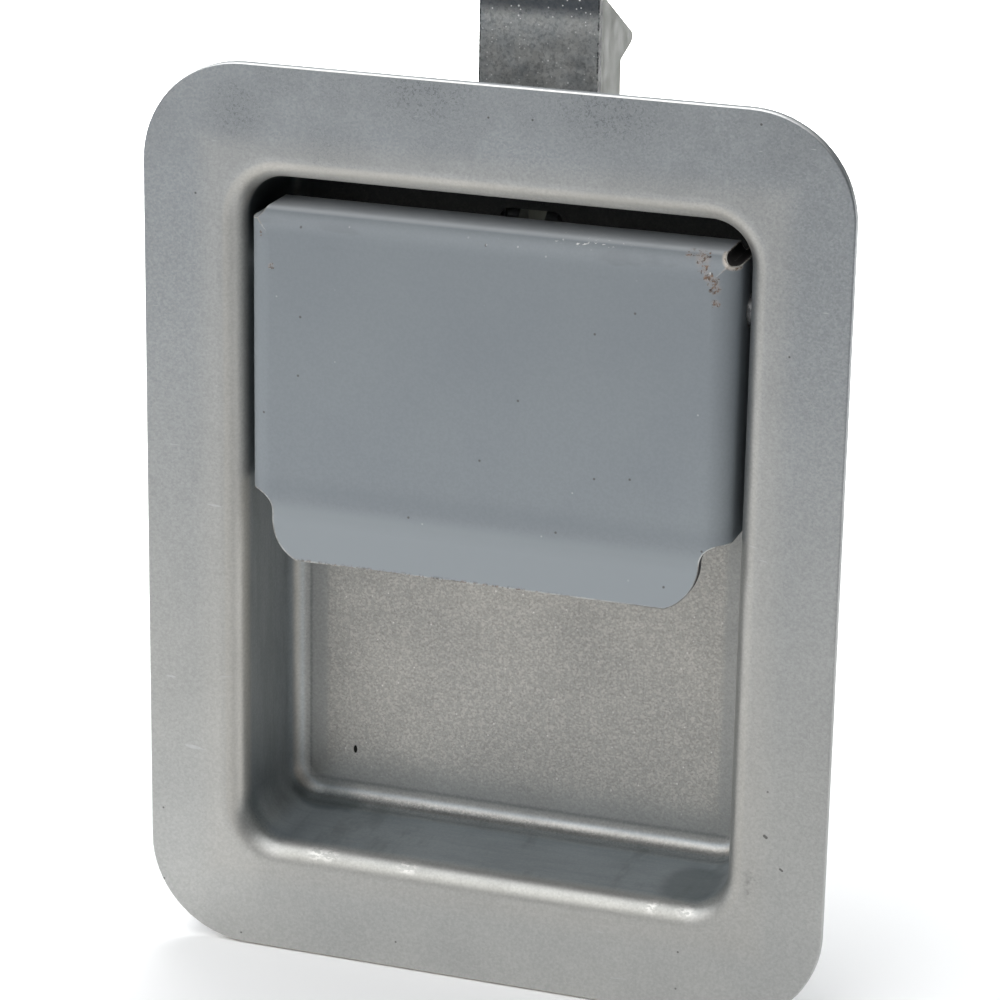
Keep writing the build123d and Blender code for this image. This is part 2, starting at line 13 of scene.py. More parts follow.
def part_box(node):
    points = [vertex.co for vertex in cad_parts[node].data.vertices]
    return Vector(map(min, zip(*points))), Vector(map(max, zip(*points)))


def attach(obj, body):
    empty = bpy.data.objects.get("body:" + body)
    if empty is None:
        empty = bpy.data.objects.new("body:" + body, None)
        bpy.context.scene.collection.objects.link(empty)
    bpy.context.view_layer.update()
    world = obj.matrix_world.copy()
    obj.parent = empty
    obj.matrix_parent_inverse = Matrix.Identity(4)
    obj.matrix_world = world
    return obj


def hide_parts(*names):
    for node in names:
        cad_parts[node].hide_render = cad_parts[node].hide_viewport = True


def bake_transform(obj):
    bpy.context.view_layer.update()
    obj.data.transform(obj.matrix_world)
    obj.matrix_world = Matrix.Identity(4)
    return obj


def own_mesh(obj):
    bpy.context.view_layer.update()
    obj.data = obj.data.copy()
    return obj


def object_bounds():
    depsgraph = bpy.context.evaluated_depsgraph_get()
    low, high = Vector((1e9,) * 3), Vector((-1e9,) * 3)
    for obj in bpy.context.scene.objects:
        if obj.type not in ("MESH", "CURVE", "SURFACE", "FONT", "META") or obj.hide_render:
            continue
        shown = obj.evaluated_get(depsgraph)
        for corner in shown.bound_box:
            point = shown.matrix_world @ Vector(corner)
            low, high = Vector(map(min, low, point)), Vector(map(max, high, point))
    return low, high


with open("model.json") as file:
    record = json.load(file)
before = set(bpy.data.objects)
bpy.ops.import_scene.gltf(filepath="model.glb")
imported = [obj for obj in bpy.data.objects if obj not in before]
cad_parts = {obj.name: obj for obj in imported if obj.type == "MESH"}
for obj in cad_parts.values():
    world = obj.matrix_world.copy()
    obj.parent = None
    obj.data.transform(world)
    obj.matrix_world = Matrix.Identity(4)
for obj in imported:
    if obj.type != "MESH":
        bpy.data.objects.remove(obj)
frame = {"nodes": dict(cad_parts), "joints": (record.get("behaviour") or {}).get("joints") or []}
cad_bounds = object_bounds()

MM = 0.001
TRAY = "tray_assembly"
PADDLE = "paddle_assembly"

joints = {joint["name"]: joint for joint in frame["joints"]}
pivot = Vector(joints["paddle_hinge"]["pos_m"])


def corners(node):
    return tuple(Vector(corner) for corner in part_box(node))


tray_low, tray_high = corners("tray")
paddle_low, paddle_high = corners("paddle")
strip_high = corners("bolt_strip")[1]
trigger_low, trigger_high = corners("trigger")

SHEET = 1.5 * MM
FLANGE_SIDE = 15.65 * MM
FLANGE_END = 17.6 * MM
PAN_RISE = 0.2 * MM
PAN_DRAW_IN = 0.72 * MM  # of the walls, down to the floor
FLOOR_FILLET = 3.1 * MM
LIP_TOP = 3.6 * MM  # middle of the bend above the paddle's lip
flange_front = tray_low.y
floor_front = tray_high.y - SHEET
paddle_back = trigger_low.y
paddle_face = paddle_back - SHEET
wall_side = tray_high.x - FLANGE_SIDE
wall_bottom = PAN_RISE + tray_low.z + FLANGE_END
floor_side = wall_side - PAN_DRAW_IN - FLOOR_FILLET
floor_bottom = wall_bottom + PAN_DRAW_IN + FLOOR_FILLET

# ---- Camera ---------------------------------------------------------------------------------------

CAMERA_AIM = Vector((1.6, 1.7, 7.4)) * MM
CAMERA_AZIMUTH = 18.36
CAMERA_ELEVATION = 18.64
CAMERA_ROLL = 1.06
CAMERA_DISTANCE = 564.2 * MM
CAMERA_LENS = 133.3


def direction(azimuth, elevation):
    """Unit vector from the latch: azimuth 0 is straight in front, positive to the right."""
    azimuth = math.radians(azimuth)
    elevation = math.radians(elevation)
    flat = math.cos(elevation)
    return Vector((math.sin(azimuth) * flat, -math.cos(azimuth) * flat, math.sin(elevation)))


def place_camera():
    towards = direction(CAMERA_AZIMUTH, CAMERA_ELEVATION)
    camera = bpy.data.objects.new("camera", bpy.data.cameras.new("camera"))
    camera.data.lens = CAMERA_LENS
    camera.data.clip_start = 0.01
    camera.data.clip_end = 50
    turn = towards.to_track_quat("Z", "Y").to_matrix().to_4x4()
    roll = Matrix.Rotation(math.radians(CAMERA_ROLL), 4, "Z")
    camera.matrix_world = Matrix.Translation(CAMERA_AIM + towards * CAMERA_DISTANCE) @ turn @ roll
    bpy.context.collection.objects.link(camera)
    bpy.context.scene.camera = camera


place_camera()

# ---- Material helpers -----------------------------------------------------------------------------


def linear(red, green, blue):
    """A display colour of 0 to 255 as the linear colour that shaders use."""

    def channel(value):
        value /= 255
        return value / 12.92 if value <= 0.04045 else ((value + 0.055) / 1.055) ** 2.4

    return (channel(red), channel(green), channel(blue), 1.0)


class Look:
    """A procedural material: short names for the nodes that all of them use."""

    def __init__(self, name, metallic=0.0, roughness=0.5, **sockets):
        self.material = bpy.data.materials.new(name)
        self.material.use_nodes = True
        self.tree = self.material.node_tree
        self.shader = self.tree.nodes["Principled BSDF"]
        self.shader.inputs["Metallic"].default_value = metallic
        self.shader.inputs["Roughness"].default_value = roughness
        for socket, value in sockets.items():
            self.shader.inputs[socket.replace("_", " ")].default_value = value
        self.place = self.node("ShaderNodeTexCoord").outputs["Object"]

    def node(self, kind, inputs=(), **settings):
        made = self.tree.nodes.new(kind)
        for key, value in settings.items():
            setattr(made, key, value)
        for key, value in dict(inputs).items():
            self.feed(made.inputs[key], value)
        return made

    def feed(self, socket, value):
        if isinstance(value, bpy.types.NodeSocket):
            self.tree.links.new(value, socket)
        else:
            socket.default_value = value

    def math(self, operation, first, second=0.0, clamp=False):
        made = self.node("ShaderNodeMath", operation=operation, use_clamp=clamp)
        self.feed(made.inputs[0], first)
        self.feed(made.inputs[1], second)
        return made.outputs[0]

    def times(self, *values):
        product = values[0]
        for value in values[1:]:
            product = self.math("MULTIPLY", product, value)
        return product

    def most(self, *values):
        largest = values[0]
        for value in values[1:]:
            largest = self.math("MAXIMUM", largest, value)
        return largest

    def stretched(self, stretch):
        if stretch == (1, 1, 1):
            return self.place
        return self.node("ShaderNodeMapping", {"Vector": self.place, "Scale": stretch}).outputs[0]

    def noise(self, scale, detail=2.0, rough=0.5, stretch=(1, 1, 1), distortion=0.0):
        inputs = {
            "Vector": self.stretched(stretch),
            "Scale": scale,
            "Detail": detail,
            "Roughness": rough,
            "Distortion": distortion,
        }
        return self.node("ShaderNodeTexNoise", inputs).outputs[0]

    def cells(self, scale, output="Distance", stretch=(1, 1, 1)):
        inputs = {"Vector": self.stretched(stretch), "Scale": scale}
        return self.node("ShaderNodeTexVoronoi", inputs).outputs[output]

    def cell_value(self, scale, stretch=(1, 1, 1)):
        """A random number for each cell."""
        colour = self.cells(scale, "Color", stretch)
        return self.node("ShaderNodeSeparateColor", {0: colour}).outputs[0]

    def specks(self, scale, size, share):
        """Small round specks, one in each of a share of the cells."""
        dot = self.span(self.cells(scale), size, size * 0.4)
        return self.times(dot, self.span(self.cell_value(scale), 1 - share, 1.02 - share))

    def flat_specks(self, scale, size, share):
        """Specks on a surface that faces front or back, in a share of square cells of its X and Z."""
        flat = self.node("ShaderNodeCombineXYZ", {0: self.axis("X"), 1: self.axis("Z")}).outputs[0]
        cells = self.node("ShaderNodeTexVoronoi", {"Vector": flat, "Scale": scale}, voronoi_dimensions="2D")
        chance = self.node("ShaderNodeSeparateColor", {0: cells.outputs["Color"]}).outputs[0]
        dot = self.span(cells.outputs["Distance"], size, size * 0.4)
        flat = self.span(self.math("ABSOLUTE", self.facing("Y")), 0.6, 0.9)
        return self.times(dot, flat, self.span(chance, 1 - share, 1.02 - share))

    def span(self, value, start, end, to_start=0.0, to_end=1.0):
        """Maps start..end to to_start..to_end, clamped and eased at both ends."""
        inputs = {
            "Value": value,
            "From Min": start,
            "From Max": end,
            "To Min": to_start,
            "To Max": to_end,
        }
        return self.node("ShaderNodeMapRange", inputs, interpolation_type="SMOOTHSTEP").outputs[0]

    def mix(self, amount, first, second, blend="MIX"):
        made = self.node("ShaderNodeMix", data_type="RGBA", blend_type=blend)
        self.feed(made.inputs[0], amount)
        self.feed(made.inputs[6], first)
        self.feed(made.inputs[7], second)
        return made.outputs[2]

    def paint(self, tone, display_colour, *amounts):
        """Lays a display colour over a tone, as strongly as the product of the amounts."""
        return self.mix(self.times(*amounts), tone, linear(*display_colour))

    def axis(self, letter):
        return self.node("ShaderNodeSeparateXYZ", {0: self.place}).outputs["XYZ".index(letter)]

    def facing(self, letter):
        """The normal's share along an axis of the node itself, so that it holds at every pose."""
        normal = self.node("ShaderNodeTexCoord").outputs["Normal"]
        return self.node("ShaderNodeSeparateXYZ", {0: normal}).outputs["XYZ".index(letter)]

    def distance(self, point, stretch=(1, 1, 1)):
        made = self.node("ShaderNodeVectorMath", operation="DISTANCE")
        self.feed(made.inputs[0], self.stretched(stretch))
        made.inputs[1].default_value = [part * scale for part, scale in zip(point, stretch)]
        return made.outputs["Value"]

    def near(self, point, radius, stretch=(1, 1, 1)):
        """1 at a point, falling to 0 at radius."""
        return self.span(self.distance(point, stretch), radius, 0.0)

    def edge(self, radius):
        """0 on open surface, rising to about 0.3 at a sharp edge."""
        rounded = self.node("ShaderNodeBevel", {"Radius": radius}, samples=6).outputs[0]
        normal = self.node("ShaderNodeNewGeometry").outputs["Normal"]
        made = self.node("ShaderNodeVectorMath", {0: rounded, 1: normal}, operation="DOT_PRODUCT")
        return self.math("SUBTRACT", 1.0, made.outputs["Value"])

    def band(self, value, middle, half):
        """1 where a value is at middle, falling to 0 at half either side."""
        return self.span(self.math("ABSOLUTE", self.math("SUBTRACT", value, middle)), half, 0.0)

    def colour(self, value):
        self.feed(self.shader.inputs["Base Color"], value)

    def roughness(self, value):
        self.feed(self.shader.inputs["Roughness"], value)

    def bump(self, height, depth, strength=1.0):
        made = self.node("ShaderNodeBump", {"Height": height, "Distance": depth, "Strength": strength})
        self.feed(self.shader.inputs["Normal"], made.outputs[0])


def dress(look, *names):
    """Puts a look on CAD nodes, in place of the material they came with."""
    for name in names:
        mesh = frame["nodes"][name].data
        mesh.materials.clear()
        mesh.materials.append(look.material)


def grain(look, scale, amount, base):
    """Shades a colour up and down by a fine noise."""
    fine = look.span(look.noise(scale, 2, 0.65), 0.32, 0.68)
    shade = look.mix(fine, (1 - amount,) * 3 + (1,), (1 + amount,) * 3 + (1,))
    return look.mix(1.0, base, shade, "MULTIPLY")


# ---- Tray -----------------------------------------------------------------------------------------

FLANGE_MARKS = ((46.0, -40.0, 0.48), (48.7, -45.1, 0.36))  # short scratches: X, Z and reach in mm
MARK_STEPS = 4  # dots that make up each scratch
GLINTS_AT = (-27.5, -25.5, -12.1, 28.5, 34.0)  # X in mm of painted glints along the mouth's lower edge


def tray_look():
    look = Look("tray_zinc", metallic=0.8)
    side = look.axis("X")
    depth = look.axis("Y")
    height = look.axis("Z")
    tilt = look.facing("Y")
    in_pan = look.span(depth, flange_front + 2.0 * MM, flange_front + 4.5 * MM)
    deep = look.span(depth, floor_front - 4.5 * MM, floor_front - 2.5 * MM)
    on_floor = look.times(deep, look.span(tilt, -0.90, -0.985))
    upward = look.facing("Z")
    brightest = look.span(upward, 0.1, 0.4, -0.72, -0.66)
    on_fillet = look.times(deep, look.band(tilt, brightest, 0.29))
    on_flange = look.span(depth, flange_front + 1.2 * MM, flange_front + 0.3 * MM)
    shaded = look.span(depth, flange_front + 3.0 * MM, flange_front + 4.8 * MM)
    shaded = look.times(shaded, look.span(height, 38 * MM, 50 * MM))

    # Cooler and darker towards the top and the upper right, paler at the foot: partly the coat's own tone,
    # partly painted shade and painted reflection; cooler on the walls
    rise = look.span(height, tray_low.z * 0.5, tray_high.z * 0.85)
    tone = look.mix(rise, linear(164, 164, 161), linear(149, 153, 156))
    foot = look.span(height, tray_low.z * 0.3, tray_low.z * 0.95)
    tone = look.paint(tone, (180, 180, 177), foot)
    far_top_tint_and_shade = look.times(look.span(side, -10 * MM, tray_high.x), look.span(height, 5 * MM, 50 * MM))
    tone = look.paint(tone, (136, 140, 143), far_top_tint_and_shade, 0.7)
    tone = look.paint(tone, (168, 175, 179), in_pan)
    tone = look.paint(tone, (169, 166, 160), on_floor)
    clouds = look.span(look.noise(30, 3, 0.55), 0.3, 0.7)
    tone = look.paint(tone, (148, 151, 153), clouds, 0.22)

    # Painted highlights round the mouth's roll, painted shade on its lower roll and in its lower corners,
    # and paler on the flange round the mouth
    on_roll = look.span(depth, flange_front + 4.6 * MM, flange_front + 3.0 * MM)
    from_middle = look.math("ABSOLUTE", side)
    on_roll = look.times(on_roll, look.span(from_middle, wall_side + 8 * MM, wall_side + 6 * MM))
    # Painted highlight along the roll, weaker to the right, brightest on the left roll and over the top
    roll_highlight = look.times(on_roll, look.span(tilt, -0.995, -0.94), look.span(tilt, -0.55, -0.8))
    roll_highlight = look.times(roll_highlight, look.span(upward, 0.3, 0.05))
    to_right = look.span(side, -5 * MM, 5 * MM, 0.45, 0.3)
    tone = look.paint(tone, (194, 190, 182), roll_highlight, to_right)
    left_roll_highlight = look.times(on_roll, look.band(look.facing("X"), 0.85, 0.3))
    left_roll_highlight = look.times(left_roll_highlight, look.span(height, wall_bottom + 4 * MM, wall_bottom + 9 * MM))
    tone = look.paint(tone, (236, 232, 224), left_roll_highlight, 0.75)
    upper_roll_highlight = look.times(on_roll, look.span(upward, -0.13, -0.5))
    upper_highlight_tone = look.mix(look.span(upward, -0.5, -0.85), linear(186, 183, 176), linear(236, 232, 224))
    tone = look.mix(look.times(upper_roll_highlight, 0.85), tone, upper_highlight_tone)
    # Painted shade dulling the lower roll
    lower_roll_shade = look.times(on_roll, look.band(upward, 0.55, 0.42))
    lower_roll_shade = look.times(lower_roll_shade, look.span(from_middle, wall_side - 4 * MM, wall_side - 8 * MM))
    tone = look.paint(tone, (156, 156, 151), lower_roll_shade, 0.8)
    # Painted shade in the mouth's lower corners
    corner = look.times(
        look.span(from_middle, wall_side - 8 * MM, wall_side - 4 * MM),
        look.span(height, wall_bottom + 8 * MM, wall_bottom + 4 * MM),
        look.band(depth, flange_front + 3.8 * MM, 3.2 * MM),
    )
    tone = look.paint(tone, (100, 113, 118), corner, 0.55)
    collar = look.most(
        look.math("SUBTRACT", from_middle, wall_side),
        look.math("SUBTRACT", look.math("ABSOLUTE", height), -wall_bottom),
    )
    collar = look.times(on_flange, look.span(collar, 8.5 * MM, 3.5 * MM))
    tone = look.paint(tone, (186, 182, 175), collar, 0.3)

    # The floor's fillet: a painted highlight at the sides and the lower right, painted shade towards the
    # lower left and on the wall below it, with painted glints
    fillet_highlight_tone = look.mix(look.span(side, 0.0, -10 * MM), linear(204, 197, 186), linear(186, 181, 172))
    tone = look.mix(look.times(on_fillet, 0.85), tone, fillet_highlight_tone)
    fillet_shade = look.times(on_fillet, look.span(upward, 0.1, 0.4))
    tone = look.paint(tone, (138, 135, 130), fillet_shade, 0.6)
    left_fillet_shade = look.span(side, 34 * MM, -16 * MM)
    floor_corner_highlight = look.times(on_fillet, look.span(upward, 0.05, 0.25))
    beyond_floor = look.span(from_middle, floor_side - 1.5 * MM, floor_side + 0.5 * MM)
    floor_corner_highlight = look.times(floor_corner_highlight, beyond_floor)
    left_fillet_shade = look.times(left_fillet_shade, look.math("SUBTRACT", 1.0, floor_corner_highlight))
    tone = look.paint(tone, (112, 110, 106), fillet_shade, left_fillet_shade, 0.95)
    tone = look.paint(tone, (226, 218, 208), floor_corner_highlight, 0.5)
    fillet_glints = look.span(look.noise(1900, 3, 0.8), 0.5, 0.62)
    tone = look.paint(tone, (244, 232, 222), fillet_shade, fillet_glints, 0.22)
    # Painted shade on the wall just below the fillet
    fillet_shade = look.times(deep, look.span(upward, 0.5, 0.85))
    tone = look.paint(tone, (112, 117, 119), fillet_shade, 0.6)
    specked = look.cell_value(3600)
    tone = look.paint(tone, (210, 210, 208), specked, 0.16)
    tone = grain(look, 2300, 0.06, tone)

    # Draw lines along the walls, a painted reflection of the dark walls in a margin inside the floor's
    # fillet, and painted shade along the crease
    on_wall = look.times(in_pan, look.span(tilt, -0.35, -0.1))
    lines = look.span(look.noise(420, 3, 0.7, (0.15, 1, 0.15)), 0.42, 0.62)
    tone = look.paint(tone, (116, 124, 126), on_wall, lines, 0.22)
    from_side = look.span(from_middle, floor_side - 3.6 * MM, floor_side - 2.2 * MM)
    from_bottom = look.span(height, floor_bottom + 7 * MM, floor_bottom + 0.5 * MM)
    dark_wall_reflection = look.times(on_floor, look.most(from_side, from_bottom))
    tone = look.paint(tone, (136, 143, 146), dark_wall_reflection, 0.3)
    crease_shade = look.most(
        look.band(from_middle, floor_side, 0.45 * MM),
        look.band(height, floor_bottom, 0.6 * MM),
    )
    tone = look.paint(tone, (96, 100, 102), deep, crease_shade, look.span(tilt, -0.9, -0.97), 0.35)

    # Grain on the rest of the floor, its sparkle painted as pale specks and brighter painted glints
    rough_floor = look.times(on_floor, look.math("SUBTRACT", 1.0, look.times(dark_wall_reflection, 0.75)))
    sparkle = look.span(look.cell_value(3300), 0.35, 1.0)
    tone = look.paint(tone, (226, 222, 214), rough_floor, sparkle, 0.34)
    pits = look.span(look.noise(2400, 4, 0.8), 0.5, 0.36)
    tone = look.paint(tone, (112, 110, 106), rough_floor, pits, 0.34)
    floor_glints = look.times(rough_floor, look.specks(1100, 0.2, 0.10))
    tone = look.paint(tone, (246, 244, 240), floor_glints, 0.6)

    # Dark specks and worn patches near the top edge
    near_top = look.span(height, tray_high.z - 26 * MM, tray_high.z - 4 * MM)
    fine = look.span(look.noise(2300, 4, 0.8), 0.51, 0.60)
    loose = look.span(look.noise(120, 3, 0.6), 0.42, 0.6)
    patch = look.most(
        look.near((-10 * MM, flange_front, 70 * MM), 9 * MM, (0.6, 1, 1)),
        look.near((-40 * MM, flange_front, 65 * MM), 8 * MM),
        look.times(look.near((-25 * MM, flange_front, 60 * MM), 9 * MM, (0.8, 1, 1)), 0.5),
        look.near((18 * MM, flange_front, 70 * MM), 10 * MM, (0.6, 1, 1)),
        look.times(near_top, loose, 0.45),
    )
    tone = look.paint(tone, (72, 76, 80), on_flange, patch, fine, 0.55)
    tone = look.paint(tone, (96, 100, 104), on_flange, patch, 0.13)
    strays = look.flat_specks(150, 0.035, 0.08)
    marks = look.near((41.0 * MM, flange_front, 70.0 * MM), 0.4 * MM)
    for across, up, reach in FLANGE_MARKS:
        for step in range(MARK_STEPS):
            spot = ((across + 0.11 * step) * MM, flange_front, (up - 0.08 * step) * MM)
            marks = look.most(marks, look.near(spot, reach * MM))
    marks = look.span(marks, 0.4, 0.7)
    tone = look.paint(tone, (60, 58, 56), on_flange, look.most(strays, marks), 0.7)
    # Painted highlight: a pale line on the flange's upward-facing edge near the mouth's top
    rim_highlight = look.times(on_flange, look.span(upward, 0.3, 0.6), look.span(height, 50 * MM, 56 * MM))
    rim_highlight = look.times(rim_highlight, look.span(look.math("ABSOLUTE", look.facing("X")), 0.8, 0.5))
    tone = look.paint(tone, (244, 244, 242), rim_highlight, look.span(collar, 0.2, 0.0), 0.55)
    scratches = look.span(look.noise(130, 2, 0.5, (1, 1, 7), 0.6), 0.735, 0.76)
    tone = look.paint(tone, (196, 198, 198), on_flange, scratches, 0.5)
    smudge = look.near((44.5 * MM, flange_front, -48.5 * MM), 5 * MM, (2.6, 1, 0.9))
    smudge = look.times(smudge, look.span(look.noise(500, 3, 0.7), 0.4, 0.62))
    tone = look.paint(tone, (98, 98, 96), on_flange, smudge, 0.6)

    # Painted shade on the bottom wall and in the pan's lower corners, smears on the bottom wall, painted
    # glints along the mouth's lower edge, a dark fleck on the floor and painted shade in the gap over the
    # paddle
    on_bottom = look.times(look.span(upward, 0.7, 0.95), in_pan)
    before_fillet = look.span(depth, floor_front - 3.2 * MM, floor_front - 4.6 * MM)
    # Painted shade on the bottom wall before the fillet
    tone = look.paint(tone, (130, 141, 150), on_bottom, before_fillet, 0.5)
    smears = look.span(look.noise(160, 4, 0.7, (1, 0.35, 1)), 0.5, 0.66)
    tone = look.paint(tone, (98, 106, 104), on_bottom, smears, 0.3)
    # Painted shade, mottled, in the pan's lower corners
    pan_corner_shade = look.most(
        look.times(look.near((-33 * MM, floor_front - 2 * MM, wall_bottom), 8 * MM, (0.7, 1.4, 1)), 0.9),
        look.near((33 * MM, 7 * MM, wall_bottom), 9.5 * MM, (1.1, 0.85, 1)),
        look.times(look.near((-wall_side, 11 * MM, wall_bottom), 11 * MM), 0.4),
    )
    pan_corner_shade = look.span(look.math("ADD", pan_corner_shade, look.times(look.noise(260, 4, 0.6), 0.35)), 0.3, 0.75)
    tone = look.paint(tone, (82, 92, 95), in_pan, pan_corner_shade, 0.5)
    # Painted glints along the mouth's lower edge, where the roughness is also lowered
    burnish_glints = 0.0
    for along in GLINTS_AT:
        glint = look.near((along * MM, 0.6 * MM, wall_bottom - 1.6 * MM), 3.0 * MM, (1, 1.5, 1.5))
        burnish_glints = look.most(burnish_glints, glint)
    burnish_glints = look.times(burnish_glints, look.span(look.noise(1300, 3, 0.7, (0.5, 1, 1)), 0.46, 0.54))
    tone = look.paint(tone, (250, 248, 244), burnish_glints)
    fleck = look.near((-28.3 * MM, floor_front, -44.8 * MM), 1.3 * MM, (2.2, 1, 1))
    tone = look.paint(tone, (24, 22, 20), look.span(fleck, 0.3, 0.6))
    tone = look.paint(tone, (58, 62, 64), shaded, 0.85)
    look.colour(tone)

    rough = look.span(look.noise(60, 4, 0.6), 0.3, 0.7, 0.38, 0.47)
    rough = look.math("ADD", rough, look.times(on_floor, 0.06))
    look.roughness(look.math("SUBTRACT", rough, look.times(burnish_glints, 0.12)))
    drawn = look.noise(700, 2, 0.6, (1, 1, 0.25))
    grit = look.times(look.noise(1900, 4, 0.7), rough_floor, 2.0)
    look.bump(look.math("ADD", drawn, grit), 0.012 * MM, 0.5)
    return look


dress(tray_look(), "tray")

# ---- Paddle ---------------------------------------------------------------------------------------

# Chips and rust: distance from the paddle's side, distance below its top and reach, in mm
RUST_STREAK = (
    (7.6, 0.1, 1.5),
    (6.2, 0.2, 1.5),
    (5.5, 0.8, 1.8),
    (5.1, 2.1, 1.4),
    (4.4, 3.2, 1.3),
    (3.5, 4.0, 1.5),
    (3.2, 5.0, 1.4),
    (3.1, 7.2, 1.1),
)
LEFT_CHIPS = ((2.2, 3.6, 0.8), (4.0, 8.6, 0.8), (0.4, 1.8, 0.8))
NOTCH_RADIUS = 2.1 * MM
NOTCH_INSET = 0.3 * MM  # of the notch's middle from the paddle's side and above its top


def paddle_look():
    look = Look("paddle_coat", metallic=0.0, roughness=0.55, Specular_IOR_Level=0.4)
    height = look.axis("Z")
    clouds = look.span(look.noise(45, 3, 0.5), 0.3, 0.7)
    tone = look.mix(clouds, linear(134, 140, 145), linear(139, 145, 149))
    tone = grain(look, 2200, 0.035, tone)
    # Painted shade towards the top and in a band over the lip; painted light on the lip and on the top
    # bend's upward faces
    upper_shade = look.span(height, 0.0, paddle_high.z)
    tone = look.paint(tone, (120, 126, 131), upper_shade, 0.45)
    over_lip_shade = look.band(height, LIP_TOP + 2.6 * MM, 3.0 * MM)
    tone = look.paint(tone, (120, 126, 131), over_lip_shade, 0.3)
    lit_lip = look.span(height, LIP_TOP + 1.2 * MM, LIP_TOP - 1.2 * MM)
    tone = look.paint(tone, (147, 153, 157), lit_lip)
    lit_bend = look.times(look.span(look.facing("Z"), 0.88, 0.99), look.span(height, 40 * MM, 44 * MM))
    tone = look.paint(tone, (190, 194, 198), lit_bend, 0.85)

    # Chips down to rust along the right of the top bend and at its notch
    chips = look.span(look.noise(1300, 4, 0.75), 0.50, 0.58)
    top = paddle_high.z
    right = paddle_high.x
    streak = 0.0
    for sign, chip_group in ((1, RUST_STREAK), (-1, LEFT_CHIPS)):
        for from_side, below_top, reach in chip_group:
            spot = (sign * (right - from_side * MM), paddle_face, top - below_top * MM)
            streak = look.most(streak, look.near(spot, reach * MM, (1, 0.3, 1)))
    notch = look.distance((right - NOTCH_INSET, 0, top + NOTCH_INSET), (1, 0, 1))
    notch_rim = look.band(notch, NOTCH_RADIUS + 0.2 * MM, 0.5 * MM)
    notch_rim = look.times(notch_rim, look.span(look.axis("Y"), 2 * MM, 0.5 * MM))
    halo = look.times(look.span(streak, 0.05, 0.7), look.span(look.noise(700, 3, 0.6), 0.35, 0.6))
    flakes = look.math("ADD", look.noise(1400, 5, 0.8, distortion=0.5), look.times(streak, 0.13))
    flakes = look.times(look.span(flakes, 0.60, 0.64), look.span(streak, 0.1, 0.3))
    chipped = look.most(flakes, look.times(notch_rim, chips))
    rust = look.mix(look.span(look.noise(1500, 3), 0.35, 0.65), linear(50, 38, 32), linear(128, 102, 84))
    tone = look.paint(tone, (172, 158, 148), halo, 0.4)
    tone = look.paint(tone, (206, 196, 184), notch_rim, 0.8)
    tone = look.mix(look.times(chipped, 0.9), tone, rust)
    # Painted shade inside the notch
    notch_shade = look.span(notch, NOTCH_RADIUS + 0.04 * MM, NOTCH_RADIUS - 0.04 * MM)
    tone = look.paint(tone, (44, 42, 42), notch_shade)

    # Bright nicks along the top bend, sparse dark specks on the face
    bend = look.band(height, top - 2.6 * MM, 3.4 * MM)
    nicks = look.flat_specks(640, 0.13, 0.12)
    tone = look.paint(tone, (200, 202, 203), bend, nicks, 0.7)
    rubbed = look.near((15 * MM, paddle_face, top + 0.4 * MM), 11 * MM, (1, 1, 5))
    flecks = look.span(look.noise(1500, 3, 0.7, (0.6, 1, 1)), 0.61, 0.67)
    rubbed = look.times(look.span(rubbed, 0.0, 0.5), flecks)
    tone = look.paint(tone, (232, 232, 230), rubbed, 0.8)
    strays = look.flat_specks(170, 0.045, 0.13)
    tone = look.paint(tone, (74, 70, 68), strays, 0.75)
    pale = look.flat_specks(210, 0.04, 0.05)
    tone = look.paint(tone, (196, 198, 200), pale, 0.6)
    dull = look.span(look.noise(85, 3, 0.6, (1, 1, 3.5)), 0.56, 0.66)
    tone = look.paint(tone, (112, 116, 120), dull, bend, 0.35)

    # Bright line along the sheet's edges, partly bare metal where the coat is rubbed through and partly
    # painted highlight; painted shade right at the edge and on the lip's right cut face
    edge = look.edge(0.4 * MM)
    bruise = look.span(look.noise(500, 3, 0.7), 0.40, 0.60)
    bare_edge_highlight = look.mix(bruise, linear(226, 224, 218), linear(150, 140, 128))
    tone = look.mix(look.times(look.span(edge, 0.009, 0.04), 0.75), tone, bare_edge_highlight)
    edge_shade = look.times(look.span(edge, 0.035, 0.08), look.span(height, 3.0 * MM, 1.0 * MM))
    edge_shade = look.times(edge_shade, look.span(look.axis("X"), 20 * MM, 27 * MM, 0.35, 1.0))
    tone = look.paint(tone, (52, 44, 38), edge_shade, 0.85)
    right_cut_shade = look.span(look.facing("X"), 0.4, 0.75)
    right_cut_shade = look.times(right_cut_shade, look.span(height, LIP_TOP + 1.5 * MM, LIP_TOP))
    tone = look.paint(tone, (50, 46, 44), right_cut_shade, 0.85)
    cut = look.span(look.facing("Z"), -0.6, -0.9)
    raw = look.span(look.noise(1000, 3, 0.7), 0.4, 0.65)
    tone = look.mix(cut, tone, look.mix(raw, linear(134, 130, 124), linear(96, 86, 78)))
    low_edge = look.times(look.span(height, paddle_low.z + 1.0 * MM, paddle_low.z + 0.3 * MM), chips)
    low_edge = look.times(low_edge, look.span(look.axis("X"), 22 * MM, 2 * MM), look.span(cut, 0.5, 0.0))
    tone = look.mix(look.times(low_edge, 0.8), tone, rust)
    look.colour(tone)
    rough = look.span(look.noise(90, 3), 0.3, 0.7, 0.50, 0.62)
    look.roughness(look.math("ADD", rough, look.times(chipped, 0.25)))
    skin = look.noise(1500, 2, 0.5)
    look.bump(look.math("SUBTRACT", look.times(skin, 0.3), chipped), 0.03 * MM, 0.6)
    return look


dress(paddle_look(), "paddle")

# ---- Bolt -----------------------------------------------------------------------------------------


